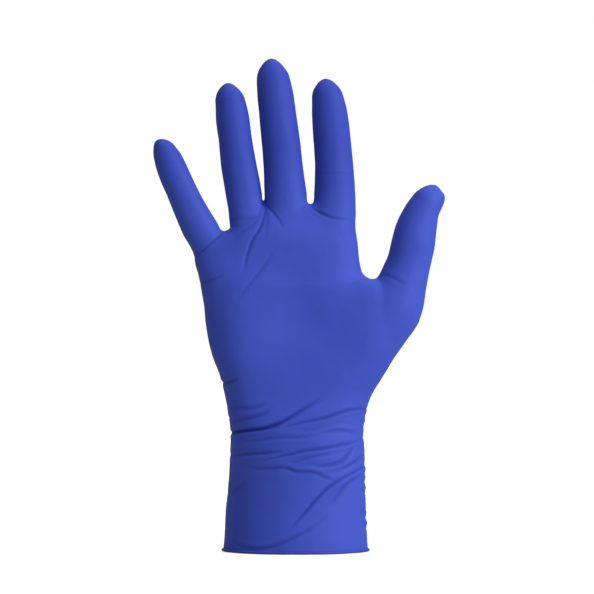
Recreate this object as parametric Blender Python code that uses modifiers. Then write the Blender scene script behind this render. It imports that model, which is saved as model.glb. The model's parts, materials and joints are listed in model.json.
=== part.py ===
"""A disposable nitrile glove in the open-hand shape that it has on a hand.

The glove is one dipped film. It bends where the hand inside it bends, so the film is modelled as a
region for each stretch between two folds: cuff, hand and the phalanges of every finger. A region ends
in a barrel-shaped end, round about its fold line, and that end turns inside the rim of the next region.

Frame: X across the palm towards the thumb, -Y out of the palm, +Z from the cuff to the fingertips.
The origin is the centre of the cuff's opening. Dimensions are in millimetres until they reach a mesh.
"""

import math

import bmesh
import bpy
from mathutils import Matrix, Vector

MM = 0.001

# The film, the play of a barrel end inside the rim around it, and how far each rim stops short of its fold
FILM = 0.12
PLAY = 0.5
RIM_MARGIN = 0.6
BARREL_REACH = 0.1
DEEPEST_BARREL = 0.82
FINGER_SIDES = 16
BODY_SIDES = 36
COLLECTION = "nitrile_glove"
CUTTERS = "cutters"

# Cuff and bead
CUFF_HALF_WIDTH = 36.5
CUFF_HALF_DEPTH = 25.0
CUFF_RINGS = (0.0, 0.35, 0.7, 1.0)
BEAD_RADIUS = 0.7
BEAD_GAP = 0.3
WRIST_Z = 60.0
WRIST_X = 0.5
WRIST_HALF_WIDTH = 33.2
WRIST_HALF_DEPTH = 22.0
WRIST_NECK = 4.0
WRIST_LIMITS = (60.0, 50.0)

# Flexion and extension limits of the folds, degrees
LIMITS = {"base": (75.0, 15.0), "middle": (85.0, 0.0), "tip": (35.0, 10.0)}
THUMB_LIMITS = {"base": (35.0, 10.0), "tip": (45.0, 10.0)}

# Each finger: (x, z) of its fold lines and of its tip, and half its width at each fold
FINGER_Y = 1.0
FINGER_DEPTH = 0.9
FINGERS = {
    "little_finger": (((-45.5, 157.5), (-55.8, 177.5), (-61.6, 191.2), (-67.0, 205.6)), (8.9, 8.3, 7.5)),
    "ring_finger": (((-24.8, 168.5), (-29.2, 199.0), (-31.6, 216.0), (-33.4, 234.0)), (9.6, 9.2, 8.5)),
    "middle_finger": (((-4.3, 172.0), (-7.4, 203.5), (-9.6, 224.5), (-12.2, 246.3)), (10.3, 9.9, 9.3)),
    "index_finger": (((19.2, 172.0), (18.6, 198.5), (17.0, 216.5), (14.9, 236.3)), (10.4, 9.8, 9.1)),
}
FINGER_BEND = (0.0, -1.0, 0.0)
THUMB_Y = -2.0
THUMB_DEPTH = 0.98
THUMB = (((51.8, 132.5), (59.8, 158.5), (69.4, 181.8)), (11.2, 10.2))
# How far each thumb fold's bending direction turns from across the palm to out of the palm, degrees
THUMB_TURNS = {"base": 80.0, "tip": 30.0}

# A fingertip's rounded end: its length and the width it starts from, in half widths of its fold
TIP_LENGTH = 1.25
TIP_WIDTH = 0.95
TIP_RINGS = 5

# The hand's cross-sections, from wrist to knuckles: (little-finger side x, z), (thumb side x, z),
# half depth, and the power of the rounded rectangle, where 2 is an ellipse
HAND_SECTIONS = (
    ((-34.8, 76.0), (36.6, 76.0), 19.5, 2.2),
    ((-39.0, 92.0), (46.5, 92.0), 17.5, 2.4),
    ((-43.8, 108.0), (56.5, 108.0), 16.0, 2.6),
    ((-45.4, 119.0), (62.2, 118.0), 15.2, 2.7),
    ((-46.8, 129.0), (63.2, 126.5), 14.8, 2.8),
    ((-49.0, 138.5), (40.8, 137.5), 13.4, 3.0),
    ((-53.0, 147.0), (31.8, 151.0), 12.2, 3.2),
)
KNUCKLE_LINE = ((-55.7, 152.0), (-45.5, 157.5), (-24.8, 168.5), (-4.3, 172.0), (31.2, 171.5))
KNUCKLE_HALF_DEPTH = 11.0
KNUCKLE_POWER = 3.6

# The thumb's opening in the hand: the cutters' length and how many places of the thumb they stand for
CUTTER_LENGTH = 30.0
CUTTER_POINT = 2.0
CUTTER_STEPS = 4
CUTTER_EXTRA_TURN = 4.0


def clear_scene():
    for obj in list(bpy.data.objects):
        bpy.data.objects.remove(obj)


def new_collection(name):
    found = bpy.data.collections.new(name)
    bpy.context.scene.collection.children.link(found)
    return found


def nitrile(name, colour, roughness):
    material = bpy.data.materials.new(name)
    material.use_nodes = True
    shader = material.node_tree.nodes["Principled BSDF"]
    shader.inputs["Base Color"].default_value = (*colour, 1.0)
    shader.inputs["Roughness"].default_value = roughness
    shader.inputs["Metallic"].default_value = 0.0
    return material


def mesh_object(name, rings, pole, matrix, material, collection):
    """A skin through closed rings of points, each ring anticlockwise seen from its far end.

    pole closes the last ring in one point, or is None where the skin ends in a rim.
    """
    bm = bmesh.new()
    loops = [[bm.verts.new(point * MM) for point in ring] for ring in rings]
    count = len(loops[0])
    for lower, upper in zip(loops, loops[1:]):
        for i in range(count):
            j = (i + 1) % count
            bm.faces.new((lower[i], lower[j], upper[j], upper[i]))
    if pole is not None:
        top = bm.verts.new(pole * MM)
        for i in range(count):
            bm.faces.new((loops[-1][i], loops[-1][(i + 1) % count], top))
    mesh = bpy.data.meshes.new(name)
    bm.to_mesh(mesh)
    bm.free()
    mesh.shade_smooth()
    mesh.materials.append(material)
    obj = bpy.data.objects.new(name, mesh)
    obj.matrix_world = matrix
    collection.objects.link(obj)
    return obj


def add_film(obj):
    """Gives an open skin the film's thickness, inwards."""
    film = obj.modifiers.new("film", "SOLIDIFY")
    film.thickness = FILM * MM
    film.offset = -1.0
    film.use_even_offset = True
    return obj


def ellipse(sides, half_width, half_depth, height):
    """A ring; height is a number, or a function of (x, y)."""
    ring = []
    for i in range(sides):
        angle = 2 * math.pi * i / sides
        x = half_width * math.cos(angle)
        y = half_depth * math.sin(angle)
        z = height(x, y) if callable(height) else height
        ring.append(Vector((x, y, z)))
    return ring


def mitre(y, limits):
    """How far below the fold line a rim at depth y is cut back, so that what turns in it stays clear."""
    flexion, extension = limits
    angle = flexion if y < 0 else extension
    return abs(y) * math.tan(math.radians(angle / 2)) + RIM_MARGIN


def barrel_angle(limits):
    """How far below its equator a barrel end reaches, so that it closes the notch of the rim around it."""
    notch = math.tan(math.radians(max(limits) / 2))
    return math.asin(min(DEEPEST_BARREL, notch + BARREL_REACH))


def barrel_rings(sides, half_width, half_depth, deepest, count):
    """Rings of an end that is round about the local X axis, from its mouth up to its equator."""
    rings = []
    for i in range(count):
        angle = -deepest * (1 - i / count)
        scale = math.cos(angle)
        rings.append(ellipse(sides, half_width * scale, half_depth * scale, half_depth * math.sin(angle)))
    rings.append(ellipse(sides, half_width, half_depth, 0.0))
    return rings


def fold_frame(start, end, bend):
    """A frame at a fold: Z along the region, X along the fold's axis, -Y the way the region bends."""
    along = (end - start).normalized()
    back = -(bend - bend.dot(along) * along).normalized()
    across = back.cross(along)
    frame = Matrix((across, back, along)).transposed().to_4x4()
    frame.translation = start * MM
    return frame


def point(xz, y):
    return Vector((xz[0], y, xz[1]))


def region_rings(length, half_widths, depth_ratio, limits, next_limits, next_back):
    """The rings of one phalanx region: its barrel end, its tube, and the rim around the next region.

    next_back is the back direction of the next fold, in this region's frame.
    """
    half_width = half_widths[0] - PLAY - FILM
    rings = barrel_rings(FINGER_SIDES, half_width, half_width * depth_ratio, barrel_angle(limits), 3)
    for share in (0.5, 1.0):
        wide = half_width + (half_widths[1] - half_width) * share

        def rim(x, y, share=share):
            return share * (length - mitre(x * next_back.x + y * next_back.y, next_limits))

        rings.append(ellipse(FINGER_SIDES, wide, wide * depth_ratio, rim))
    return rings


def tip_rings(length, inner, depth_ratio, limits):
    """The rings of a fingertip: its barrel end, then a rounded cone."""
    half_width = inner - PLAY - FILM
    rings = barrel_rings(FINGER_SIDES, half_width, half_width * depth_ratio, barrel_angle(limits), 3)
    straight = length - TIP_LENGTH * half_width
    for i in range(TIP_RINGS):
        angle = 0.5 * math.pi * i / TIP_RINGS
        wide = TIP_WIDTH * half_width * math.cos(angle)
        height = straight + (length - straight) * math.sin(angle)
        rings.append(ellipse(FINGER_SIDES, wide, wide * depth_ratio, height))
    return rings


def make_finger(name, points, half_widths, y, depth_ratio, limits, bends, material, collection):
    """A finger's regions, from its base fold to its tip. Returns the frames of its folds."""
    parts = list(limits)
    lines = [(point(start, y), point(end, y)) for start, end in zip(points, points[1:])]
    frames = [fold_frame(start, end, bends[part]) for part, (start, end) in zip(parts, lines)]
    for i, part in enumerate(parts):
        start, end = lines[i]
        length = (end - start).length
        if i + 1 < len(parts):
            next_back = frames[i].to_3x3().transposed() @ frames[i + 1].to_3x3().col[1]
            next_limits = limits[parts[i + 1]]
            widths = half_widths[i : i + 2]
            rings = region_rings(length, widths, depth_ratio, limits[part], next_limits, next_back)
            pole = None
        else:
            rings = tip_rings(length, half_widths[i], depth_ratio, limits[part])
            pole = Vector((0.0, 0.0, length))
        add_film(mesh_object(f"{name}_{part}", rings, pole, frames[i], material, collection))
    return frames


def thumb_bend(part):
    """The way the thumb's fold bends: across the palm, turned towards -Y."""
    turn = math.radians(THUMB_TURNS[part])
    return Vector((-math.cos(turn), -math.sin(turn), 0.0))


def polyline(points, x):
    """The height of a line of (x, z) points at x."""
    for (x0, z0), (x1, z1) in zip(points, points[1:]):
        if x <= x1:
            return z0 + (z1 - z0) * (x - x0) / (x1 - x0)
    return points[-1][1]


def hand_section(left, right, half_depth, power, height=None):
    """A rounded-rectangle ring whose ends are at left and right; height replaces its own, as a function."""
    middle = 0.5 * (left[0] + right[0])
    reach = 0.5 * (right[0] - left[0])
    ring = []
    for i in range(BODY_SIDES):
        angle = 2 * math.pi * i / BODY_SIDES
        c, s = math.cos(angle), math.sin(angle)
        x = middle + reach * math.copysign(abs(c) ** (2 / power), c)
        y = half_depth * math.copysign(abs(s) ** (2 / power), s)
        z = left[1] + (right[1] - left[1]) * (x - left[0]) / (right[0] - left[0])
        if height:
            z = height(x, y)
        ring.append(Vector((x, y + FINGER_Y, z)))
    return ring


def make_hand(material, collection, cutters):
    """Palm and back of the hand: a barrel end in the wrist, open at the knuckles and at the thumb."""
    half_width = WRIST_HALF_WIDTH - PLAY - FILM
    half_depth = WRIST_HALF_DEPTH - PLAY - FILM
    rings = barrel_rings(BODY_SIDES, half_width, half_depth, barrel_angle(WRIST_LIMITS), 4)
    rings.append(ellipse(BODY_SIDES, half_width, half_depth, WRIST_NECK))
    wrist = Vector((WRIST_X, 0.0, WRIST_Z))
    rings = [[p + wrist for p in ring] for ring in rings]
    rings += [hand_section(*section) for section in HAND_SECTIONS]

    def rim(x, y):
        return polyline(KNUCKLE_LINE, x) - mitre(y, LIMITS["base"])

    ends = KNUCKLE_LINE[0], KNUCKLE_LINE[-1]
    rings.append(hand_section(*ends, KNUCKLE_HALF_DEPTH, KNUCKLE_POWER, rim))
    hand = add_film(mesh_object("palm_and_back", rings, None, Matrix(), material, collection))
    opening = hand.modifiers.new("thumb_opening", "BOOLEAN")
    opening.operand_type = "COLLECTION"
    opening.collection = cutters
    opening.solver = "EXACT"


def make_thumb_cutters(frame, cutters):
    """The room that the thumb's base sweeps as it bends, a little larger than the thumb."""
    flexion, extension = THUMB_LIMITS["base"]
    half_width = THUMB[1][0]
    half_depth = half_width * THUMB_DEPTH
    deepest = barrel_angle(THUMB_LIMITS["base"]) + math.radians(CUTTER_EXTRA_TURN)
    rings = barrel_rings(FINGER_SIDES, half_width, half_depth, deepest, 3)
    rings.append(ellipse(FINGER_SIDES, half_width, half_depth, CUTTER_LENGTH))
    point_of_cutter = Vector((0.0, 0.0, CUTTER_LENGTH + CUTTER_POINT))
    for i in range(CUTTER_STEPS + 1):
        angle = math.radians(-extension + (flexion + extension) * i / CUTTER_STEPS)
        turned = frame @ Matrix.Rotation(angle, 4, "X")
        cutter = mesh_object(f"thumb_sweep_{i}", rings, point_of_cutter, turned, None, cutters)
        bottom = bmesh.new()
        bottom.from_mesh(cutter.data)
        bmesh.ops.contextual_create(bottom, geom=[e for e in bottom.edges if e.is_boundary])
        bottom.to_mesh(cutter.data)
        bottom.free()
        cutter.hide_render = True
        cutter.display_type = "WIRE"


def make_cuff(material, collection):
    """The sleeve over the wrist and forearm. Its upper rim lets the hand's barrel end tilt both ways."""
    foot = 2 * BEAD_RADIUS + BEAD_GAP
    rings = []
    for share in CUFF_RINGS:
        wide = CUFF_HALF_WIDTH + (WRIST_HALF_WIDTH - CUFF_HALF_WIDTH) * share
        deep = CUFF_HALF_DEPTH + (WRIST_HALF_DEPTH - CUFF_HALF_DEPTH) * share

        def height(x, y, share=share):
            return foot + share * (WRIST_Z - mitre(y, WRIST_LIMITS) - foot)

        ring = ellipse(BODY_SIDES, wide, deep, height)
        rings.append([p + Vector((WRIST_X * share, 0.0, 0.0)) for p in ring])
    add_film(mesh_object("cuff", rings, None, Matrix(), material, collection))


def make_bead(material, collection):
    """The film rolled up on itself at the end of the cuff."""
    curve = bpy.data.curves.new("rolled_bead", "CURVE")
    curve.dimensions = "3D"
    curve.bevel_depth = BEAD_RADIUS * MM
    curve.bevel_resolution = 2
    spline = curve.splines.new("POLY")
    points = ellipse(BODY_SIDES, CUFF_HALF_WIDTH, CUFF_HALF_DEPTH, BEAD_RADIUS)
    spline.points.add(len(points) - 1)
    for place, p in zip(spline.points, points):
        place.co = (*(p * MM), 1.0)
    spline.use_cyclic_u = True
    curve.materials.append(material)
    collection.objects.link(bpy.data.objects.new("rolled_bead", curve))


def main():
    clear_scene()
    glove = new_collection(COLLECTION)
    cutters = new_collection(CUTTERS)
    film = nitrile("nitrile_film", (0.036, 0.062, 0.45), 0.5)
    bead = nitrile("nitrile_bead", (0.03, 0.05, 0.4), 0.5)
    make_bead(bead, glove)
    make_cuff(film, glove)
    palmwards = {part: Vector(FINGER_BEND) for part in LIMITS}
    for name, (points, half_widths) in FINGERS.items():
        make_finger(name, points, half_widths, FINGER_Y, FINGER_DEPTH, LIMITS, palmwards, film, glove)
    bends = {part: thumb_bend(part) for part in THUMB_LIMITS}
    points, half_widths = THUMB
    frames = make_finger("thumb", points, half_widths, THUMB_Y, THUMB_DEPTH, THUMB_LIMITS, bends, film, glove)
    make_thumb_cutters(frames[0], cutters)
    make_hand(film, glove, cutters)


main()
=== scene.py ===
"""The looks of a disposable nitrile glove, worn in an open-hand shape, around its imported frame.

The film is built as one skin: lofts of the sleeve, the hand and the digits are united, smoothed and
folded where the film creases. It is then cut on stretches that don't bend, and each piece is given the
film's thickness.
Lengths are in millimetres until a mesh is written. X runs across the palm towards the thumb, -Y out of
the palm and +Z from the cuff to the fingertips.
"""

import json
import math

import bmesh
import bpy
import numpy as np
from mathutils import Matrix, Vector, noise


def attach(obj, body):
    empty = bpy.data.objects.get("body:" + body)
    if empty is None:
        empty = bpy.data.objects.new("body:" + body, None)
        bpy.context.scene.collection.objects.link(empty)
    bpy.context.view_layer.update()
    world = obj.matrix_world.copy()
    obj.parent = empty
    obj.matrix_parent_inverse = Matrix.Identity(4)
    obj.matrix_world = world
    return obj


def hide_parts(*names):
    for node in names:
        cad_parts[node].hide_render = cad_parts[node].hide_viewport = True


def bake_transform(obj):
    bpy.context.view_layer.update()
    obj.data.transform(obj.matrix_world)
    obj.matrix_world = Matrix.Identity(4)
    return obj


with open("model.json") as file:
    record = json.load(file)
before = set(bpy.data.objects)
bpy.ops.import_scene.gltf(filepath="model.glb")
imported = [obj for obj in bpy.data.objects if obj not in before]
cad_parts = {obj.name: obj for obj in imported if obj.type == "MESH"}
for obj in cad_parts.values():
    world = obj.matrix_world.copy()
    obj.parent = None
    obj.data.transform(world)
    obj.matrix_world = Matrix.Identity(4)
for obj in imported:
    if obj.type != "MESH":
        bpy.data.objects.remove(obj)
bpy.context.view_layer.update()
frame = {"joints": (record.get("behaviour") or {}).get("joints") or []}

MM = 0.001
WHITE = (1.0, 1.0, 1.0, 1.0)
# The least length that a direction is divided by, and how far inside its last stretch a curve ends
TINY = 1e-15
JUST_INSIDE = 1e-9
JOINTS = {joint["name"]: joint for joint in frame["joints"]}

# The camera, level and far off, and how wide a view it has of the palm
SENSOR = 36.0
CAMERA_DISTANCE = 1.7
VIEW_WIDTH = 0.297
VIEW_CENTRE = (0.00075, 0.127)

# The studio, in metres and watts. AMBIENT lights the glove, while the camera sees BACKDROP behind
# it and FLOOR_GLOW on the floor.
FLOOR_SIZE = 12.0
FLOOR_DROP = 0.0002
FLOOR_GREY = 0.5
FLOOR_ROUGHNESS = 0.9
FLOOR_GLOW = 0.7
AMBIENT = 0.30
BACKDROP = 1.0
KEY_PLACE = (1.15, -0.85, 0.7)
KEY_TARGET = (0.0, 0.0, 0.12)
KEY_SIZE = 0.8
KEY_POWER = 23.0
KEY_COLOUR = (1.0, 0.98, 0.96)
OVERHEAD_STRENGTH = 1.6
OVERHEAD_ANGLE = 1.2
OVERHEAD_TURN = (-0.15, 0.1, 0.0)

# The nitrile: colour, the deeper colour that it is mottled with, and roughness
FILM_LOOK = ((0.0375, 0.073, 0.47), (0.0315, 0.062, 0.42), 0.66)
BEAD_LOOK = ((0.03, 0.05, 0.40), (0.026, 0.044, 0.36), 0.5)
# Painted shade: the dark blue that the film is mixed towards in its creases, and the most of it that is
# mixed in. The fingers are mixed towards it too, more so towards their tips.
CREASE_SHADE_COLOUR = (0.004, 0.017, 0.25)
CREASE_SHADE = 0.8
REFRACTION = 1.5
SPECULAR = 0.25
MOTTLE_RANGE = (0.3, 0.7)
ROUGHNESS_SPREAD = (-0.05, 0.06)
GRAIN_STRENGTH = 0.12
GRAIN_HEIGHT = 0.00008
# Scale and detail of the noises that they follow
MOTTLE_NOISE = (22.0, 3.0)
ROUGHNESS_NOISE = (90.0, 4.0)
GRAIN_NOISE = (2600.0, 2.0)

# The film: its thickness and the spacing of its points; how many rounds each kind of smoothing
# runs, and how strong one round is; and how high the film ends, inside the bead
FILM = 0.14
VOXEL = 0.62
SMOOTH_ROUNDS = 24
WEB_ROUNDS = 60
ROOT_ROUNDS = 220
LAST_ROUNDS = 1
RELAX = (0.55, -0.5)
EASE = 0.5
CUFF_FOOT = 1.0

# The lofts that the film is built from
LOFT_SIDES = 48
DIGIT_RINGS = 70
TIP_RINGS = 16
BODY_RINGS = 90
WEB_SAMPLES = 80
# A tip: how many of the digit's last rings give the direction that it sets off in; where its last
# ring is and how far it is pulled that way, as shares of the way to its end; and the two powers of
# its roundness
AIM_RINGS = 3
TIP_END = 0.995
TIP_PULL = 0.45
TIP_POWERS = (1.65, 0.6)

# Digits: centre x, z and half width along each, from inside the hand to where the tip begins to
# round off; then the tip's end, the depth as a share of the width, and y at both ends
FINGER_DEPTH = 0.9
FINGER_Y = (1.0, 0.2)
THUMB_DEPTH = 0.98
THUMB_Y = (-1.0, -2.5)
DIGITS = {
    "little_finger": {
        "line": ((-37.5, 139.0, 4.5), (-42.8, 150.0, 7.8), (-46.5, 158.5, 8.8), (-50.3, 166.0, 8.5),
                 (-54.2, 174.0, 8.0), (-57.9, 182.0, 7.7), (-60.6, 188.0, 7.6), (-63.4, 195.0, 7.1),
                 (-65.3, 199.0, 6.2)),
        "tip": (-70.0, 205.2), "depth": FINGER_DEPTH, "y": FINGER_Y,
    },
    "ring_finger": {
        "line": ((-21.5, 146.0, 5.0), (-22.6, 156.0, 8.0), (-23.8, 165.0, 8.8), (-25.0, 172.5, 8.8),
                 (-25.9, 178.0, 9.0), (-26.6, 183.0, 9.05), (-28.6, 194.0, 8.8), (-30.2, 206.0, 8.4),
                 (-31.4, 215.0, 8.4), (-32.1, 220.5, 8.0), (-32.9, 225.5, 7.5)),
        "tip": (-33.7, 234.1), "depth": FINGER_DEPTH, "y": FINGER_Y,
    },
    "middle_finger": {
        "line": ((-2.0, 149.0, 5.5), (-3.4, 161.0, 9.6), (-4.3, 170.0, 10.6), (-4.9, 177.0, 10.7),
                 (-5.4, 183.0, 10.3), (-6.2, 193.0, 9.8), (-7.5, 206.0, 9.55), (-8.9, 219.0, 9.25),
                 (-9.9, 227.0, 9.1), (-11.3, 236.0, 8.3)),
        "tip": (-12.0, 246.3), "depth": FINGER_DEPTH, "y": FINGER_Y,
    },
    "index_finger": {
        "line": ((18.0, 146.0, 5.5), (18.8, 158.0, 10.3), (19.4, 169.0, 10.8), (19.6, 182.0, 10.2),
                 (19.2, 194.0, 9.6), (18.3, 206.0, 9.3), (17.6, 213.5, 9.2), (16.9, 220.5, 8.8),
                 (15.9, 227.5, 7.8)),
        "tip": (14.9, 236.4), "depth": FINGER_DEPTH, "y": FINGER_Y,
    },
    "thumb": {
        "line": ((33.0, 92.0, 5.0), (42.0, 106.0, 9.4), (49.7, 120.5, 12.9), (53.5, 134.0, 12.0),
                 (56.6, 144.0, 11.0), (58.7, 153.0, 10.9), (60.2, 160.5, 10.3), (62.7, 168.0, 9.2),
                 (65.8, 174.0, 8.1)),
        "tip": (70.3, 182.9), "depth": THUMB_DEPTH, "y": THUMB_Y,
    },
}

# The sleeve and the hand, from the cuff up: (little-finger side x, z), (thumb side x, z), half
# depth, centre y, and the power of the rounded rectangle, where 2 is an ellipse
BODY_SECTIONS = (
    ((-36.2, -6.0), (36.4, -6.0), 25.4, 0.0, 2.0),
    ((-35.8, 4.0), (36.0, 4.0), 25.0, 0.0, 2.0),
    ((-34.9, 20.0), (35.3, 20.0), 24.0, 0.0, 2.0),
    ((-33.5, 36.0), (34.9, 36.0), 23.0, 0.0, 2.0),
    ((-32.8, 50.0), (34.5, 50.0), 22.2, 0.0, 2.05),
    ((-32.7, 60.0), (34.1, 60.0), 21.6, 0.0, 2.1),
    ((-34.0, 70.0), (35.6, 70.0), 20.4, 0.4, 2.2),
    ((-35.3, 78.0), (37.8, 78.0), 19.2, 0.8, 2.25),
    ((-37.3, 88.0), (42.6, 88.0), 17.9, 1.0, 2.35),
    ((-41.5, 99.0), (48.7, 98.5), 16.8, 1.0, 2.45),
    ((-44.3, 112.0), (58.8, 110.5), 15.8, 1.0, 2.5),
    ((-45.6, 122.0), (62.0, 117.8), 15.2, 1.0, 2.6),
    ((-46.6, 128.0), (57.0, 127.5), 14.5, 1.0, 2.7),
    ((-47.2, 132.0), (46.0, 134.0), 14.1, 1.0, 2.8),
    ((-47.8, 135.2), (38.0, 134.4), 13.7, 1.0, 2.9),
    ((-48.6, 139.0), (33.2, 138.4), 13.1, 1.0, 3.0),
    ((-50.0, 143.0), (31.8, 145.0), 12.5, 1.0, 3.0),
)
# The top of the hand along the webs, (x, z); then the rings that close it, as share of the way
# there and half depth, with their centre y and power
WEB_LINE = (
    (-51.6, 151.0), (-45.0, 155.0), (-38.5, 158.4), (-34.8, 159.8), (-31.0, 162.0), (-23.0, 171.0),
    (-16.2, 171.8), (-9.0, 175.0), (-2.0, 176.5), (7.6, 174.0), (18.0, 171.5), (30.1, 160.5),
)
WEB_RINGS = ((0.3, 11.8), (0.55, 10.8), (0.75, 9.2), (0.88, 7.2), (0.96, 5.0), (1.0, 3.0))
WEB_Y = 1.0
WEB_POWER = 3.0
# Crooks and roots that are rounded off in every direction: (x, z) and how far round it. The core of
# each, as a share of that, is rounded fully.
WEBS = (
    ((-35.5, 159.0), 5.5), ((7.6, 174.5), 5.0), ((40.5, 136.0), 9.0), ((30.2, 161.0), 8.0),
    ((-51.5, 151.0), 8.0), ((51.0, 102.0), 12.0),
)
WEB_CORE = 0.4
# The roots that are eased in and out of the palm, the fingers' and the thumb's: where the easing
# begins and where it is full, from below, from above and from the side. The film that it eases
# faces forward or back: ROOT_FACING is how far its normal has to do so, where the easing begins and
# where it is full.
ROOTS = (
    ((134.0, 148.0), (190.0, 177.0), (39.0, 35.0)),
    ((100.0, 114.0), (156.0, 144.0), (12.0, 26.0)),
)
ROOT_FACING = (0.2, 0.6)


def pivot(joint):
    """A point on a joint's axis, in millimetres."""
    return np.array(JOINTS[joint]["pos_m"]) / MM


def smoothstep(low, high, value):
    """0 at low and 1 at high, easing in and out between them; high may be the lower number."""
    t = np.clip((value - low) / (high - low), 0.0, 1.0)
    return t * t * (3.0 - 2.0 * t)


def spline(points, count):
    """A Catmull-Rom curve through points, as an array of count rows."""
    points = np.array(points, float)
    padded = np.vstack([2 * points[0] - points[1], points, 2 * points[-1] - points[-2]])
    place = np.linspace(0.0, len(points) - 1 - JUST_INSIDE, count)
    index = place.astype(int)
    t = (place - index)[:, None]
    a, b, c, d = (padded[index + k] for k in range(4))
    return 0.5 * (2 * b + (c - a) * t
                  + (2 * a - 5 * b + 4 * c - d) * t**2
                  + (3 * b - a - 3 * c + d) * t**3)


def loft(name, rings):
    """A closed skin through rings of points, each ring anticlockwise seen from its far end."""
    bm = bmesh.new()
    loops = [[bm.verts.new(Vector(point) * MM) for point in ring] for ring in rings]
    count = len(loops[0])
    for lower, upper in zip(loops, loops[1:]):
        for i in range(count):
            j = (i + 1) % count
            bm.faces.new((lower[i], lower[j], upper[j], upper[i]))
    bm.faces.new(list(reversed(loops[0])))
    bm.faces.new(loops[-1])
    mesh = bpy.data.meshes.new(name)
    bm.to_mesh(mesh)
    bm.free()
    obj = bpy.data.objects.new(name, mesh)
    bpy.context.scene.collection.objects.link(obj)
    return obj


def digit_rings(line, tip, depth, y_ends):
    """Rings round a digit's centre line, square to it, with a rounded tip."""
    body = spline(line, DIGIT_RINGS)
    last = body[-1]
    share = np.sin(np.linspace(0.0, 0.5 * math.pi, TIP_RINGS + 1))[1:]
    share[-1] = TIP_END
    end = np.array(tip, float)
    aim = body[-1, :2] - body[-1 - AIM_RINGS, :2]
    aim = aim / np.linalg.norm(aim)
    middle = last[:2] + aim * TIP_PULL * np.linalg.norm(end - last[:2])
    tip_line = ((1 - share) ** 2)[:, None] * last[:2]
    tip_line = tip_line + (2 * share * (1 - share))[:, None] * middle + (share**2)[:, None] * end
    tip_width = last[2] * (1.0 - share ** TIP_POWERS[0]) ** TIP_POWERS[1]
    centres = np.vstack([body[:, :2], tip_line])
    widths = np.concatenate([body[:, 2], tip_width])
    travelled = np.concatenate([[0.0], np.cumsum(np.linalg.norm(np.diff(centres, axis=0), axis=1))])
    y = y_ends[0] + (y_ends[1] - y_ends[0]) * (travelled / travelled[-1]) ** 2
    angles = 2 * math.pi * np.arange(LOFT_SIDES) / LOFT_SIDES
    rings = []
    for i, centre in enumerate(centres):
        ahead = centres[min(i + 1, len(centres) - 1)] - centres[max(i - 1, 0)]
        ahead = ahead / np.linalg.norm(ahead)
        across = np.array((ahead[1], -ahead[0]))
        rings.append([
            (centre[0] + across[0] * widths[i] * math.cos(a),
             y[i] + widths[i] * depth * math.sin(a),
             centre[1] + across[1] * widths[i] * math.cos(a))
            for a in angles
        ])
    return rings


def section_ring(left, right, half_depth, y, power, height=None):
    """A rounded-rectangle ring from left to right; height, a function of x, replaces its own."""
    middle = 0.5 * (left[0] + right[0])
    reach = 0.5 * (right[0] - left[0])
    ring = []
    for i in range(2 * LOFT_SIDES):
        angle = math.pi * i / LOFT_SIDES
        c, s = math.cos(angle), math.sin(angle)
        x = middle + reach * math.copysign(abs(c) ** (2 / power), c)
        depth = half_depth * math.copysign(abs(s) ** (2 / power), s)
        if height:
            z = height(x)
        else:
            z = left[1] + (right[1] - left[1]) * (x - left[0]) / (right[0] - left[0])
        ring.append((x, y + depth, z))
    return ring


def body_rings():
    """Rings round the sleeve and the hand, and the ones that close the hand along its webs."""
    sections = [(*left, *right, depth, y, power) for left, right, depth, y, power in BODY_SECTIONS]
    rings = []
    for x0, z0, x1, z1, depth, y, power in spline(sections, BODY_RINGS):
        rings.append(section_ring((x0, z0), (x1, z1), depth, y, power))
    line = spline(WEB_LINE, WEB_SAMPLES)
    foot = np.array(BODY_SECTIONS[-1][:2])
    for share, depth in WEB_RINGS:
        ends = foot + share * (line[[0, -1]] - foot)

        def height(x, ends=ends, share=share):
            along = (x - ends[0, 0]) / (ends[1, 0] - ends[0, 0])
            start = foot[0, 1] + along * (foot[1, 1] - foot[0, 1])
            top = np.interp(line[0, 0] + along * (line[-1, 0] - line[0, 0]), line[:, 0], line[:, 1])
            return start + share * (top - start)

        rings.append(section_ring(*ends, depth, WEB_Y, WEB_POWER, height))
    return rings


def united_skin():
    """Sleeve, hand and digits as one even skin: arrays of points, in millimetres, and of quads."""
    parts = [loft("body", body_rings())]
    for name, digit in DIGITS.items():
        rings = digit_rings(digit["line"], digit["tip"], digit["depth"], digit["y"])
        parts.append(loft(name, rings))
    bpy.ops.object.select_all(action="DESELECT")
    for part in parts:
        part.select_set(True)
    bpy.context.view_layer.objects.active = parts[0]
    bpy.ops.object.join()
    whole = parts[0]
    remesh = whole.modifiers.new("remesh", "REMESH")
    remesh.mode = "VOXEL"
    remesh.voxel_size = VOXEL * MM
    graph = bpy.context.evaluated_depsgraph_get()
    mesh = bpy.data.meshes.new_from_object(whole.evaluated_get(graph))
    bpy.data.objects.remove(whole)
    points = np.zeros(len(mesh.vertices) * 3)
    mesh.vertices.foreach_get("co", points)
    faces = np.zeros(len(mesh.loops), int)
    mesh.loops.foreach_get("vertex_index", faces)
    bpy.data.meshes.remove(mesh)
    return points.reshape(-1, 3) / MM, faces.reshape(-1, 4)


def edges_of(faces):
    """Every edge of the quads once, as pairs of point numbers."""
    edges = np.vstack([faces[:, [k, (k + 1) % 4]] for k in range(4)])
    return np.unique(np.sort(edges, axis=1), axis=0)


def neighbour_means(points, edges, columns):
    """The mean of the neighbours of each point, over the given columns."""
    size = len(points)
    degree = np.maximum(np.bincount(edges.ravel(), minlength=size), 1)
    return np.stack([
        (np.bincount(edges[:, 0], points[edges[:, 1], k], size)
         + np.bincount(edges[:, 1], points[edges[:, 0], k], size)) / degree
        for k in columns
    ], axis=1)


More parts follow.
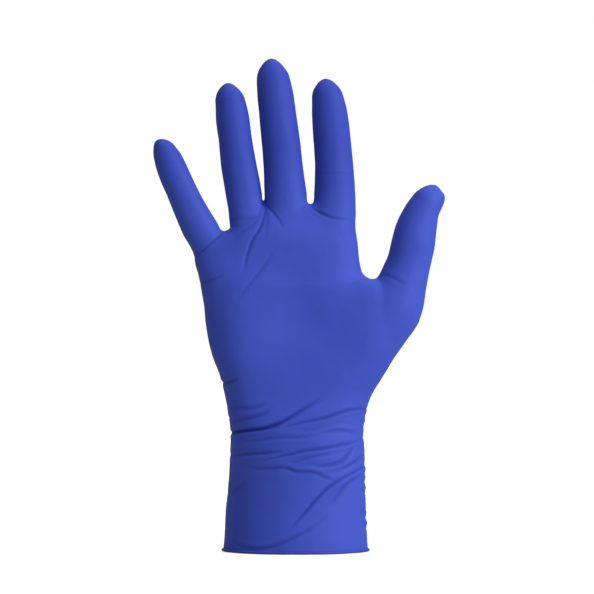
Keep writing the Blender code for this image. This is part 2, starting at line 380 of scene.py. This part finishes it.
def smooth(points, faces, rounds):
    """Smooths without shrinking: each round relaxes the points and then pushes most of that back."""
    edges = edges_of(faces)
    for _ in range(rounds):
        for strength in RELAX:
            points = points + strength * (neighbour_means(points, edges, (0, 1, 2)) - points)
    return points


def ease_roots(points, faces):
    """Eases the steps where the digits leave the hand, moving the film only in and out of the palm."""
    edges = edges_of(faces)
    x, z = points[:, 0], points[:, 2]
    share = np.zeros(len(points))
    for below, above, beside in ROOTS:
        eased = smoothstep(*below, z) * smoothstep(*above, z) * smoothstep(*beside, x)
        share = np.maximum(share, eased)
    share = share * smoothstep(*ROOT_FACING, np.abs(normals_of(points, faces)[:, 1]))
    points = points.copy()
    for _ in range(ROOT_ROUNDS):
        points[:, 1] += EASE * share * (neighbour_means(points, edges, (1,))[:, 0] - points[:, 1])
    return points


def round_webs(points, faces):
    """Rounds off the crooks between the digits, easing the film in every direction there."""
    edges = edges_of(faces)
    share = np.zeros(len(points))
    for centre, reach in WEBS:
        away = np.linalg.norm(points[:, [0, 2]] - centre, axis=1)
        share = np.maximum(share, smoothstep(reach, WEB_CORE * reach, away))
    for _ in range(WEB_ROUNDS):
        points = points + EASE * share[:, None] * (neighbour_means(points, edges, (0, 1, 2)) - points)
    return points


def normals_of(points, faces):
    """The outward normal at each point, weighted by the faces round it."""
    corner = points[faces]
    face = np.cross(corner[:, 2] - corner[:, 0], corner[:, 3] - corner[:, 1])
    total = np.stack([
        sum(np.bincount(faces[:, c], face[:, k], len(points)) for c in range(4)) for k in range(3)
    ], axis=1)
    return total / np.maximum(np.linalg.norm(total, axis=1, keepdims=True), TINY)


# Folds of the film, seen from in front of their side: (x, z) points along the valley, how deep it
# is, its half width, and how high the film stands beside it, on the left of the valley's run where
# positive
PALM_FOLDS = (
    # over the wrist, where the hand is tilted back a little and the loose film bunches
    (((-48.0, 58.0), (-36.5, 58.8), (-30.0, 59.8), (-23.5, 60.9), (-16.2, 62.0), (-9.0, 64.6),
      (-3.0, 68.0)), 1.9, 0.85, -0.35),
    (((-17.0, 61.8), (-11.0, 63.7), (-5.3, 66.6), (0.7, 70.2), (6.8, 73.8), (13.0, 77.0)),
     0.8, 1.1, -0.4),
    (((-15.0, 61.0), (-4.0, 63.6), (6.0, 65.7), (15.0, 67.4), (22.0, 69.6), (28.5, 70.8), (36.5, 71.2),
      (46.0, 71.2)), 0.95, 0.75, -0.4),
    (((-33.0, 65.5), (-26.0, 66.4), (-18.5, 68.6), (-13.0, 71.0)), 0.6, 1.2, 0.3),
    (((-33.5, 72.5), (-27.0, 71.7), (-20.0, 72.5), (-15.0, 75.2)), 0.45, 1.4, 0.2),
    (((-31.0, 54.5), (-20.0, 55.8), (-9.0, 57.4), (2.0, 57.6), (12.0, 58.6)), 0.5, 1.0, -0.25),
    (((0.0, 61.0), (10.0, 62.0), (20.0, 64.5), (30.0, 64.0)), 0.4, 0.9, -0.2),
    (((12.0, 60.0), (22.0, 60.6), (33.5, 59.0)), 0.4, 1.0, 0.25),
    (((-35.0, 47.6), (-23.5, 49.0), (-14.0, 49.8), (-6.0, 50.6)), 0.75, 1.0, -0.35),
    (((-17.0, 46.0), (-10.0, 47.6), (-3.0, 49.2), (3.8, 50.8), (12.9, 52.0), (22.0, 53.4), (29.0, 54.8),
      (35.0, 56.6)), 0.95, 0.75, -0.5),
    (((-4.0, 44.6), (3.0, 46.6), (10.0, 48.4), (18.0, 49.0)), 0.5, 0.8, -0.3),
    (((28.8, 52.5), (26.5, 48.8), (23.0, 45.7), (18.0, 43.9), (12.5, 43.4), (6.0, 44.0)),
     0.75, 0.9, 0.4),
    (((-26.0, 43.4), (-18.7, 42.0), (-12.0, 42.3), (-5.3, 42.5), (0.7, 40.6), (8.6, 40.3), (14.1, 37.9),
      (19.5, 36.2)), 0.6, 0.85, 0.35),
    # across the sleeve
    (((-2.5, 13.5), (0.7, 16.6), (5.6, 22.0), (10.4, 27.5), (16.5, 33.0), (22.0, 36.2), (29.2, 39.8),
      (35.5, 43.2), (42.0, 47.0)), 0.9, 0.8, -0.5),
    (((17.0, 23.0), (20.7, 28.1), (25.6, 34.1), (32.5, 39.2)), 0.55, 1.5, 0.3),
    (((22.0, 41.0), (28.0, 44.0), (34.5, 48.5)), 0.5, 0.9, 0.3),
    (((-31.5, 6.0), (-27.0, 3.6), (-20.0, 2.6), (-11.4, 3.8), (-1.7, 8.0), (6.8, 12.3), (16.0, 18.5)),
     0.55, 0.9, 0.3),
    (((-36.0, 28.0), (-30.0, 31.0), (-24.0, 36.0)), 0.35, 1.6, 0.2),
    # notches in the outline beside the wrist
    (((-39.0, 84.3), (-33.5, 84.6), (-28.0, 86.5)), 0.75, 0.9, 0.3),
    (((-36.0, 66.8), (-32.0, 66.5)), 0.5, 0.8, 0.2),
    # palm
    (((-52.5, 145.5), (-49.2, 147.9), (-44.1, 152.2), (-38.0, 157.3), (-36.0, 159.2)), 0.5, 0.7, -0.12),
    (((-49.5, 133.4), (-42.0, 135.3), (-35.5, 138.0)), 0.4, 0.9, -0.1),
    (((-34.5, 164.5), (-29.0, 165.6), (-20.6, 166.6), (-15.5, 169.5)), 0.25, 0.9, 0.05),
    (((-15.6, 178.0), (-15.3, 170.0), (-17.6, 161.6), (-21.8, 154.5), (-24.7, 146.0), (-25.8, 139.0)),
     0.68, 0.75, -0.04),
    (((-15.6, 175.0), (-13.5, 171.5), (-10.8, 168.3), (-8.0, 164.5), (-6.6, 161.5)), 0.52, 0.7, 0.04),
    (((-16.0, 169.0), (-20.0, 163.8), (-24.8, 160.0), (-30.5, 155.0)), 0.24, 0.8, 0.04),
    (((-14.8, 172.5), (-14.2, 165.0), (-14.9, 156.0)), 0.22, 0.8, 0.04),
    (((-9.5, 151.0), (-16.5, 141.5), (-22.0, 134.5), (-29.5, 124.5)), 0.34, 1.0, 0.05),
    (((5.5, 176.0), (9.0, 171.0), (14.1, 167.9), (19.5, 166.0), (28.5, 165.2)), 0.75, 0.75, -0.12),
    (((5.0, 172.0), (9.0, 168.0), (13.5, 165.6)), 0.2, 0.7, -0.04),
    (((43.0, 138.5), (48.8, 136.0), (55.0, 133.0)), 0.32, 0.9, 0.08),
    (((9.0, 188.2), (15.0, 188.5), (22.0, 188.4), (30.0, 187.8)), 0.12, 0.6, 0.14),
)
BACK_FOLDS = (
    (((-34.5, 58.8), (-25.0, 57.2), (-14.0, 58.6), (-2.0, 61.5), (8.0, 62.2)), 1.1, 1.0, 0.45),
    (((36.0, 70.8), (26.0, 68.4), (14.0, 66.8), (4.0, 68.0), (-6.0, 70.4)), 0.9, 1.1, -0.4),
    (((36.0, 59.4), (24.0, 56.8), (12.0, 55.4), (2.0, 53.4)), 0.7, 1.0, 0.35),
    (((-34.8, 48.0), (-24.0, 50.5), (-12.0, 49.6), (0.0, 46.4), (12.0, 46.8)), 0.8, 1.0, -0.35),
    (((36.0, 43.6), (27.0, 41.4), (18.0, 42.0), (8.0, 39.6), (-4.0, 37.2)), 0.7, 1.1, 0.35),
    (((-30.0, 40.5), (-20.0, 37.5), (-12.0, 31.0), (-6.0, 22.0)), 0.7, 1.2, -0.4),
    (((-34.5, 72.4), (-24.0, 75.5), (-12.0, 76.0), (0.0, 79.5)), 0.55, 1.3, 0.3),
    (((34.0, 12.0), (22.0, 9.5), (8.0, 12.0), (-4.0, 17.5)), 0.5, 1.5, -0.3),
    (((-40.0, 84.5), (-30.0, 86.0), (-20.0, 90.0)), 0.5, 1.3, 0.2),
    (((38.0, 80.0), (28.0, 83.0), (18.0, 88.0)), 0.5, 1.4, -0.2),
)
# Every fold: samples along it; how far it reaches, in half widths; the power of its taper along the
# run and how soon it ends past it; where and how wide the film stands up beside it, and how wide
# the painted shade in its valley is
FOLD_SAMPLES = 60
FOLD_REACH = 6.0
FOLD_TAPER = 0.7
FOLD_END = 1.5
RIDGE_PLACE = 1.9
RIDGE_WIDTH = 1.3
SHADE_WIDTH = 0.75

# How far a side's folds and pads reach round to the other side, by the y of the film's normal
SIDE_BLEND = (-0.35, 0.25)
# The pads and hollows of the palm, and the heel of the hand above the wrist: (x, z), spread, height
PALM_PADS = (
    ((40.0, 106.0), (15.0, 24.0), 3.2),
    ((-30.0, 104.0), (12.0, 26.0), 2.0),
    ((-5.0, 158.0), (34.0, 9.0), 1.4),
    ((0.0, 122.0), (16.0, 22.0), -2.2),
    ((39.0, 130.0), (7.0, 9.0), 1.2),
    ((0.0, 73.0), (28.0, 15.0), -2.6),
)
# The thumbnail's end, and the step behind it
THUMBNAIL = (
    ((75.2, 177.0), (3.4, 3.0), 1.3),
    ((73.2, 167.5), (3.5, 4.5), -0.6),
)
# The small folds on the back over the joint halfway along each digit: place along the digit from
# the joint, depth; then their half length, how far they bow, half width, ridge and share of the
# painted crease shade that they get
JOINT_FOLDS = ((-2.6, 0.22), (0.2, 0.36), (2.9, 0.24))
JOINT_FOLD_SPAN = 4.5
JOINT_FOLD_BOW = 0.8
JOINT_FOLD_WIDTH = 0.7
JOINT_FOLD_RIDGE = 0.1
JOINT_FOLD_SHADE = 0.6
# The knuckles on the back, below the second place of each finger's line
FINGERS = ("little_finger", "ring_finger", "middle_finger", "index_finger")
KNUCKLE_BELOW = 8.0
KNUCKLE_SPREAD = (5.5, 9.0)
KNUCKLE_HEIGHT = 1.3
# The film's unevenness: scale and seed of the noise, and its height
WANDER = (14.0, 1.7)
WANDER_HEIGHT = 0.22
RIPPLE = (5.0, 4.1)
RIPPLE_HEIGHT = 0.07
# The puckers on the thumb side of the sleeve: where they begin and are full, over x and down from
# the top; their reach round the edge; their height and how it swells, as a base and a share of
# noise; and the waves: pitch, how much faster they come up the sleeve, slant and wandering
PUCKER_X = (30.0, 34.0)
PUCKER_TOP = (75.0, 66.0)
PUCKER_REACH = 8.0
PUCKER_HEIGHT = 0.3
PUCKER_SWELL = (0.8, 1.8)
PUCKER_NOISE = (9.0, 2.3)
PUCKER_PITCH = 6.2
PUCKER_DRIFT = 0.08
PUCKER_SLANT = 0.12
PUCKER_WANDER = 2.5
# The fingers are a little deeper in colour towards their tips, away from the thumb: how much, and
# where that begins and is full, over z and over x
FINGER_DEEPENING = 0.45
FINGER_DEEPENING_Z = (160.0, 205.0)
FINGER_DEEPENING_X = (42.0, 36.0)


def fold_depth(x, z, line, depth, width, ridge):
    """How far one fold pushes each place (x, z) outwards, and how much painted shade its valley gives
    the place.
    """
    path = spline(line, FOLD_SAMPLES)
    push = np.zeros(len(x))
    reach = FOLD_REACH * width
    low, high = path.min(0) - reach, path.max(0) + reach
    near = np.flatnonzero((x > low[0]) & (x < high[0]) & (z > low[1]) & (z < high[1]))
    shade = np.zeros(len(x))
    if not len(near):
        return push, shade
    away = np.stack([x[near], z[near]], axis=1)[:, None, :] - path[None]
    distance = np.linalg.norm(away, axis=2)
    closest = distance.argmin(axis=1)
    run = np.gradient(path, axis=0)
    run /= np.linalg.norm(run, axis=1, keepdims=True)
    offset = away[np.arange(len(near)), closest]
    signed = run[closest, 0] * offset[:, 1] - run[closest, 1] * offset[:, 0]
    past = np.abs((run[closest] * offset).sum(axis=1))
    taper = np.sin(math.pi * (closest + 0.5) / FOLD_SAMPLES) ** FOLD_TAPER
    across = signed / width
    valley = -depth * np.exp(-across**2)
    side = math.copysign(1.0, ridge)
    crest = abs(ridge) * np.exp(-(((across - side * RIDGE_PLACE) / RIDGE_WIDTH) ** 2))
    taper = taper * np.exp(-((past / (FOLD_END * width)) ** 2))
    push[near] = (valley + crest) * taper
    shade[near] = depth * np.exp(-((across / SHADE_WIDTH) ** 2)) * taper
    return push, shade


def bump(x, z, centre, spread, height):
    """A rounded rise, or a hollow where height is negative, at each place (x, z)."""
    return height * np.exp(-(((x - centre[0]) / spread[0]) ** 2) - ((z - centre[1]) / spread[1]) ** 2)


def unevenness(points, scale, seed):
    """Smooth noise at each point, the same on every run."""
    shift = Vector((seed, 2.0 * seed, 3.0 * seed))
    return np.array([noise.noise(Vector(p) / scale + shift) for p in points])


def joint_folds(digit):
    """The small folds on the back over the joint halfway along a digit, as fold_depth takes them."""
    joint = f"{digit}_tip_fold" if digit == "thumb" else f"{digit}_middle_fold"
    middle = pivot(joint)[[0, 2]]
    across = np.array(JOINTS[joint]["axis"])[[0, 2]]
    across /= np.linalg.norm(across)
    along = np.array((-across[1], across[0]))
    for place, depth in JOINT_FOLDS:
        line = [
            middle + t * JOINT_FOLD_SPAN * across + (place + JOINT_FOLD_BOW * t * t) * along
            for t in (-1.0, 0.0, 1.0)
        ]
        yield line, depth, JOINT_FOLD_WIDTH, JOINT_FOLD_RIDGE


def puckers(points, wander):
    """How far the puckered edge of the sleeve stands out at each point."""
    x, y, z = points.T
    edge = smoothstep(*PUCKER_X, x) * smoothstep(*PUCKER_TOP, z) * np.exp(-((y / PUCKER_REACH) ** 2))
    swell = PUCKER_SWELL[0] + PUCKER_SWELL[1] * unevenness(points, *PUCKER_NOISE)
    waves = 2 * math.pi * (z - CUFF_FOOT) / PUCKER_PITCH
    waves = waves + PUCKER_DRIFT * z + PUCKER_SLANT * y + PUCKER_WANDER * wander
    return PUCKER_HEIGHT * edge * swell * np.sin(waves) ** 3


def relief(points, normals):
    """How far the film stands out of the smooth skin at each point, and how far its colour is mixed
    towards the crease shade colour: painted shade in its folds, and the fingers' deeper colour towards
    their tips.
    """
    x, z = points[:, 0], points[:, 2]
    palm = smoothstep(*SIDE_BLEND, -normals[:, 1])
    back = smoothstep(*SIDE_BLEND, normals[:, 1])
    push = np.zeros(len(points))
    shade = np.zeros(len(points))
    for side, folds in ((palm, PALM_FOLDS), (back, BACK_FOLDS)):
        for fold in folds:
            fold_push, fold_shade = fold_depth(x, z, *fold)
            push += side * fold_push
            shade = np.maximum(shade, side * fold_shade)
    for pad in PALM_PADS:
        push += palm * bump(x, z, *pad)
    for step in THUMBNAIL:
        push += bump(x, z, *step)
    for digit in DIGITS:
        for fold in joint_folds(digit):
            fold_push, fold_shade = fold_depth(x, z, *fold)
            push += back * fold_push
            shade = np.maximum(shade, JOINT_FOLD_SHADE * back * fold_shade)
    for finger in FINGERS:
        start = DIGITS[finger]["line"][1]
        push += back * bump(x, z, (start[0], start[1] - KNUCKLE_BELOW), KNUCKLE_SPREAD, KNUCKLE_HEIGHT)
    wander = unevenness(points, *WANDER)
    push += WANDER_HEIGHT * wander + RIPPLE_HEIGHT * unevenness(points, *RIPPLE)
    push += puckers(points, wander)
    deepening_share = smoothstep(*FINGER_DEEPENING_Z, z) * smoothstep(*FINGER_DEEPENING_X, x)
    shade = np.maximum(shade, FINGER_DEEPENING * deepening_share)
    return push, shade


def folded_film():
    """The film's outer face down to the cuff's end: points, quads, and how far each point's colour is
    mixed towards the crease shade colour, as painted shade in folds and a deeper colour on the fingers.
    """
    points, faces = united_skin()
    points = round_webs(smooth(points, faces, SMOOTH_ROUNDS), faces)
    points = ease_roots(points, faces)
    normals = normals_of(points, faces)
    push, shade = relief(points, normals)
    points = points + normals * push[:, None]
    points = smooth(points, faces, LAST_ROUNDS)
    keep = (points[faces][:, :, 2] > CUFF_FOOT).all(axis=1)
    faces = faces[keep]
    used = np.unique(faces)
    renumber = np.full(len(points), -1)
    renumber[used] = np.arange(len(used))
    points, faces, shade = points[used], renumber[faces], shade[used]
    points[on_open_edge(faces, len(points)), 2] = CUFF_FOOT
    return points, faces, shade


def on_open_edge(faces, size):
    """For each of size points, whether it lies on an open edge."""
    edges = np.sort(np.vstack([faces[:, [k, (k + 1) % 4]] for k in range(4)]), axis=1)
    unique, counts = np.unique(edges, axis=0, return_counts=True)
    flags = np.zeros(size, bool)
    flags[unique[counts == 1].ravel()] = True
    return flags


# Cutting the film: the line, (x, z) to (x, z), on which each digit leaves the hand, just above its
# webs
DIGIT_CUTS = {
    "little_finger": ((-57.0, 153.0), (-38.0, 162.5)),
    "ring_finger": ((-36.6, 169.5), (-16.4, 180.2)),
    "middle_finger": ((-16.4, 180.6), (6.4, 178.4)),
    "index_finger": ((8.4, 178.0), (31.0, 171.0)),
    "thumb": ((40.0, 141.5), (66.5, 131.0)),
}
# How far from a fold's axis the film begins and ends its bend
BEND_REACH = {"middle": (8.5, 10.0), "tip": (6.0, 7.0)}
THUMB_BEND_REACH = (9.0, 10.0)
WRIST_BEND = (40.0, 80.0)
RIGID_MARGIN = 0.9
BEND_CLEARANCE = 3 * RIGID_MARGIN
DIGIT_HALF_WIDTH = 10.0
LINE_SAMPLES = 40
PHALANGES = ("base", "middle", "tip")
THUMB_PHALANGES = ("base", "tip")


def digit_planes(digit):
    """For each phalanx's film: where it is cut, its bend's direction, and how far the bend runs."""
    phalanges = THUMB_PHALANGES if digit == "thumb" else PHALANGES
    pivots = [pivot(f"{digit}_{part}_fold") for part in phalanges]
    left, right = (np.array(p) for p in DIGIT_CUTS[digit])
    across = (right - left) / np.linalg.norm(right - left)
    y = pivots[0][1]
    middle = 0.5 * (left + right)
    planes = [[np.array((middle[0], y, middle[1])), np.array((-across[1], 0.0, across[0])), 0.0]]
    for i, part in enumerate(phalanges[1:], 1):
        before, after = THUMB_BEND_REACH if digit == "thumb" else BEND_REACH[part]
        if part == "middle":
            to_tip_bend = np.linalg.norm(pivots[i + 1] - pivots[i]) - BEND_REACH["tip"][0]
            after = min(after, to_tip_bend - BEND_CLEARANCE)
        along = pivots[i] - pivots[i - 1]
        along /= np.linalg.norm(along)
        start = pivots[i] - along * (before + RIGID_MARGIN)
        planes.append([start, along, before + after])
    lean = planes[0][1] @ planes[1][1]
    room = (planes[1][0] - planes[0][0]) @ planes[0][1]
    slant = DIGIT_HALF_WIDTH * math.sqrt(max(0.0, 1.0 - lean * lean)) / lean
    planes[0][2] = room - 2 * RIGID_MARGIN - slant
    return phalanges, planes


def distance_to_line(points, line):
    """How far each point is, seen from the front, from a line of (x, z) points."""
    path = spline([p[:2] for p in line], LINE_SAMPLES)
    apart = points[:, None, [0, 2]] - path[None]
    return np.linalg.norm(apart, axis=2).min(axis=1)


def piece_mesh(name, points, normals, shade, faces):
    """A closed mesh of the film: its outer face, its inner face, and the rim between them."""
    used = np.unique(faces)
    renumber = np.full(len(points), -1)
    renumber[used] = np.arange(len(used))
    outer = points[used]
    facing = normals[used]
    quads = renumber[faces]
    size = len(used)
    inner = outer - FILM * facing
    directed = np.vstack([quads[:, [k, (k + 1) % 4]] for k in range(4)])
    keys = directed[:, 0] * size + directed[:, 1]
    opposite = directed[:, 1] * size + directed[:, 0]
    rim = directed[~np.isin(keys, opposite)]
    walls = np.stack([rim[:, 1], rim[:, 0], rim[:, 0] + size, rim[:, 1] + size], axis=1)
    every = np.vstack([quads, quads[:, ::-1] + size, walls])
    mesh = bpy.data.meshes.new(name)
    corners = np.vstack([outer, inner]) * MM
    mesh.vertices.add(len(corners))
    mesh.vertices.foreach_set("co", corners.ravel())
    mesh.loops.add(every.size)
    mesh.loops.foreach_set("vertex_index", every.ravel())
    mesh.polygons.add(len(every))
    mesh.polygons.foreach_set("loop_start", np.arange(0, every.size, 4))
    mesh.update(calc_edges=True)
    mesh.shade_smooth()
    smooth_normals = np.vstack([facing, -facing])[every]
    side = corners[walls]
    flat = np.cross(side[:, 2] - side[:, 0], side[:, 3] - side[:, 1])
    flat /= np.maximum(np.linalg.norm(flat, axis=1, keepdims=True), TINY)
    smooth_normals[-len(walls):] = flat[:, None, :]
    mesh.normals_split_custom_set(smooth_normals.reshape(-1, 3).tolist())
    # How far each point's colour is mixed towards the dark blue: painted shade in the creases, and the
    # fingers' deeper colour towards their tips
    crease_shade_and_deepening = mesh.attributes.new("crease_shade_and_deepening", "FLOAT", "POINT")
    crease_shade_and_deepening.data.foreach_set("value", np.tile(shade[used], 2))
    obj = bpy.data.objects.new(name, mesh)
    bpy.context.scene.collection.objects.link(obj)
    return obj


def cut_into_pieces(points, faces, shade, film_material):
    """Cuts the film into a piece for each body; the hand's piece follows its body, and the pieces over
    the folds of the digits and the wrist are left where they are.
    """
    normals = normals_of(points, faces)
    centres = points[faces].mean(axis=1)
    nearest = np.stack([distance_to_line(centres, digit["line"] + (digit["tip"] + (0.0,),))
                        for digit in DIGITS.values()], axis=1).argmin(axis=1)
    owner = np.where(centres[:, 2] > WRIST_BEND[1] + RIGID_MARGIN, 1, 0)
    plans = [("cuff_film", ("cuff",), "cuff"), ("hand_film", ("palm_and_back",), "hand")]
    bends = {"cuff_film": ("cuff", "hand", (0.0, 0.0, WRIST_BEND[0]), (0.0, 0.0, WRIST_BEND[1]))}
    for index, digit in enumerate(DIGITS):
        phalanges, planes = digit_planes(digit)
        below = "hand"
        beyond = nearest == index
        for part, (origin, along, length) in zip(phalanges, planes):
            beyond = beyond & ((centres - origin) @ along > 0.0)
            owner[beyond] = len(plans)
            name = f"{digit}_{part}_film"
            body = f"{digit}_{part}"
            plans.append((name, (body,), body))
            start = origin + along * RIGID_MARGIN
            bends[name] = (below, body, tuple(start), tuple(start + along * length))
            below = body
    for number, (name, nodes, body) in enumerate(plans):
        piece = piece_mesh(name, points, normals, shade, faces[owner == number])
        piece.data.materials.append(film_material)
        if name in bends:
            first, second, start, end = bends[name]
            Vector(start) * MM
            Vector(end) * MM
            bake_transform(piece)
        else:
            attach(piece, body)
        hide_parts(*nodes)


# The bead: its radius, and how far outside the film it is centred; its swells round the cuff, as
# height, number and start; and how oval the roll is, and which way
BEAD_RADIUS = 0.75
BEAD_OFFSET = 0.25
BEAD_STEPS = 240
BEAD_SIDES = 14
BEAD_SWELLS = ((0.05, 5, 0.0), (0.03, 17, 1.0))
BEAD_LEAN = 0.06
BEAD_LEAN_TURN = 0.6


def rolled_bead(rim, material):
    """The film rolled up on itself round the end of the cuff, following the film's own rim."""
    order = np.argsort(np.arctan2(rim[:, 1], rim[:, 0]))
    angles = np.arctan2(rim[order, 1], rim[order, 0])
    radii = np.linalg.norm(rim[order, :2], axis=1)
    rings = []
    for i in range(BEAD_STEPS):
        turn = -math.pi + 2 * math.pi * i / BEAD_STEPS
        radius = np.interp(turn, angles, radii, period=2 * math.pi) + BEAD_OFFSET
        swell = sum(height * math.sin(times * turn + start) for height, times, start in BEAD_SWELLS)
        thick = BEAD_RADIUS * (1.0 + swell)
        ring = []
        for k in range(BEAD_SIDES):
            a = 2 * math.pi * k / BEAD_SIDES
            lip = thick * (1.0 + BEAD_LEAN * math.cos(2 * a + BEAD_LEAN_TURN))
            out = radius + lip * math.cos(a)
            ring.append((out * math.cos(turn), out * math.sin(turn), BEAD_RADIUS + lip * math.sin(a)))
        rings.append(ring)
    bm = bmesh.new()
    loops = [[bm.verts.new(Vector(p) * MM) for p in ring] for ring in rings]
    for i in range(BEAD_STEPS):
        one, two = loops[i], loops[(i + 1) % BEAD_STEPS]
        for k in range(BEAD_SIDES):
            j = (k + 1) % BEAD_SIDES
            bm.faces.new((one[k], one[j], two[j], two[k]))
    bmesh.ops.recalc_face_normals(bm, faces=bm.faces)
    mesh = bpy.data.meshes.new("cuff_bead")
    bm.to_mesh(mesh)
    bm.free()
    mesh.shade_smooth()
    mesh.materials.append(material)
    bead = bpy.data.objects.new("cuff_bead", mesh)
    bpy.context.scene.collection.objects.link(bead)
    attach(bead, "cuff")
    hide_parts("rolled_bead")


def nitrile(name, colour, darker, roughness):
    """Dipped nitrile: satin, faintly mottled, with a fine grain; its colour is mixed towards a dark
    blue as painted shade in its creases, and to deepen the fingers towards their tips.
    """
    material = bpy.data.materials.new(name)
    material.use_nodes = True
    nodes, links = material.node_tree.nodes, material.node_tree.links
    shader = nodes["Principled BSDF"]
    place = nodes.new("ShaderNodeTexCoord")

    def noise_at(scale, detail):
        node = nodes.new("ShaderNodeTexNoise")
        node.inputs["Scale"].default_value = scale
        node.inputs["Detail"].default_value = detail
        links.new(place.outputs["Object"], node.inputs["Vector"])
        return node.outputs["Fac"]

    mottle = nodes.new("ShaderNodeValToRGB")
    mottle.color_ramp.elements[0].position = MOTTLE_RANGE[0]
    mottle.color_ramp.elements[0].color = (*darker, 1.0)
    mottle.color_ramp.elements[1].position = MOTTLE_RANGE[1]
    mottle.color_ramp.elements[1].color = (*colour, 1.0)
    links.new(noise_at(*MOTTLE_NOISE), mottle.inputs["Fac"])
    # Painted shade: the colour is mixed towards a dark blue in the creases, by how deep they are, and
    # on the fingers towards their tips
    crease_shade_and_deepening = nodes.new("ShaderNodeAttribute")
    crease_shade_and_deepening.attribute_name = "crease_shade_and_deepening"
    depth = nodes.new("ShaderNodeMapRange")
    depth.inputs["To Max"].default_value = CREASE_SHADE
    links.new(crease_shade_and_deepening.outputs["Fac"], depth.inputs["Value"])
    toward_crease_shade = nodes.new("ShaderNodeMix")
    toward_crease_shade.data_type = "RGBA"
    toward_crease_shade.inputs["B"].default_value = (*CREASE_SHADE_COLOUR, 1.0)
    links.new(depth.outputs["Result"], toward_crease_shade.inputs["Factor"])
    links.new(mottle.outputs["Color"], toward_crease_shade.inputs["A"])
    links.new(toward_crease_shade.outputs["Result"], shader.inputs["Base Color"])
    unevenly_rough = nodes.new("ShaderNodeMapRange")
    unevenly_rough.inputs["To Min"].default_value = roughness + ROUGHNESS_SPREAD[0]
    unevenly_rough.inputs["To Max"].default_value = roughness + ROUGHNESS_SPREAD[1]
    links.new(noise_at(*ROUGHNESS_NOISE), unevenly_rough.inputs["Value"])
    links.new(unevenly_rough.outputs["Result"], shader.inputs["Roughness"])
    grain = nodes.new("ShaderNodeBump")
    grain.inputs["Strength"].default_value = GRAIN_STRENGTH
    grain.inputs["Distance"].default_value = GRAIN_HEIGHT
    links.new(noise_at(*GRAIN_NOISE), grain.inputs["Height"])
    links.new(grain.outputs["Normal"], shader.inputs["Normal"])
    shader.inputs["IOR"].default_value = REFRACTION
    shader.inputs["Specular IOR Level"].default_value = SPECULAR
    return material


def area_light(name, place, target, size, power, colour):
    """A round lamp at place that faces target."""
    light = bpy.data.lights.new(name, "AREA")
    light.shape = "DISK"
    light.size = size
    light.energy = power
    light.color = colour
    obj = bpy.data.objects.new(name, light)
    obj.location = place
    obj.rotation_euler = (Vector(target) - Vector(place)).to_track_quat("-Z", "Y").to_euler()
    bpy.context.scene.collection.objects.link(obj)


def floor():
    """A pale matt floor, which glows for the camera alone."""
    bpy.ops.mesh.primitive_plane_add(size=FLOOR_SIZE, location=(0.0, 0.0, -FLOOR_DROP))
    plane = bpy.context.active_object
    plane.name = "studio_floor"
    pale = bpy.data.materials.new("studio_floor")
    pale.use_nodes = True
    surface = pale.node_tree.nodes["Principled BSDF"]
    surface.inputs["Base Color"].default_value = (FLOOR_GREY, FLOOR_GREY, FLOOR_GREY, 1.0)
    surface.inputs["Roughness"].default_value = FLOOR_ROUGHNESS
    surface.inputs["Emission Color"].default_value = WHITE
    seen = pale.node_tree.nodes.new("ShaderNodeLightPath")
    glow = pale.node_tree.nodes.new("ShaderNodeMapRange")
    glow.inputs["To Max"].default_value = FLOOR_GLOW
    pale.node_tree.links.new(seen.outputs["Is Camera Ray"], glow.inputs["Value"])
    pale.node_tree.links.new(glow.outputs["Result"], surface.inputs["Emission Strength"])
    plane.data.materials.append(pale)


def backdrop():
    """A white surrounding, brighter for the camera than the light that it gives."""
    world = bpy.data.worlds.new("studio")
    world.use_nodes = True
    nodes, links = world.node_tree.nodes, world.node_tree.links
    nodes["Background"].inputs["Color"].default_value = WHITE
    path = nodes.new("ShaderNodeLightPath")
    strength = nodes.new("ShaderNodeMapRange")
    strength.inputs["To Min"].default_value = AMBIENT
    strength.inputs["To Max"].default_value = BACKDROP
    links.new(path.outputs["Is Camera Ray"], strength.inputs["Value"])
    links.new(strength.outputs["Result"], nodes["Background"].inputs["Strength"])
    bpy.context.scene.world = world


def lights():
    """A large soft key lamp from the right, and a broad even light from overhead."""
    area_light("key", KEY_PLACE, KEY_TARGET, KEY_SIZE, KEY_POWER, KEY_COLOUR)
    sky = bpy.data.lights.new("overhead", "SUN")
    sky.energy = OVERHEAD_STRENGTH
    sky.angle = OVERHEAD_ANGLE
    overhead = bpy.data.objects.new("overhead", sky)
    overhead.rotation_euler = OVERHEAD_TURN
    bpy.context.scene.collection.objects.link(overhead)


def camera():
    """A level long-lens camera that faces the palm."""
    lens = bpy.data.cameras.new("camera")
    lens.sensor_width = SENSOR
    lens.lens = SENSOR * CAMERA_DISTANCE / VIEW_WIDTH
    eye = bpy.data.objects.new("camera", lens)
    eye.location = (VIEW_CENTRE[0], -CAMERA_DISTANCE, VIEW_CENTRE[1])
    eye.rotation_euler = (0.5 * math.pi, 0.0, 0.0)
    bpy.context.scene.collection.objects.link(eye)
    bpy.context.scene.camera = eye


def main():
    floor()
    backdrop()
    bpy.context.scene.view_settings.view_transform = "Standard"
    lights()
    camera()
    film = nitrile("nitrile_film", *FILM_LOOK)
    bead = nitrile("nitrile_bead", *BEAD_LOOK)
    points, faces, shade = folded_film()
    cut_into_pieces(points, faces, shade, film)
    rolled_bead(points[on_open_edge(faces, len(points))], bead)


main()
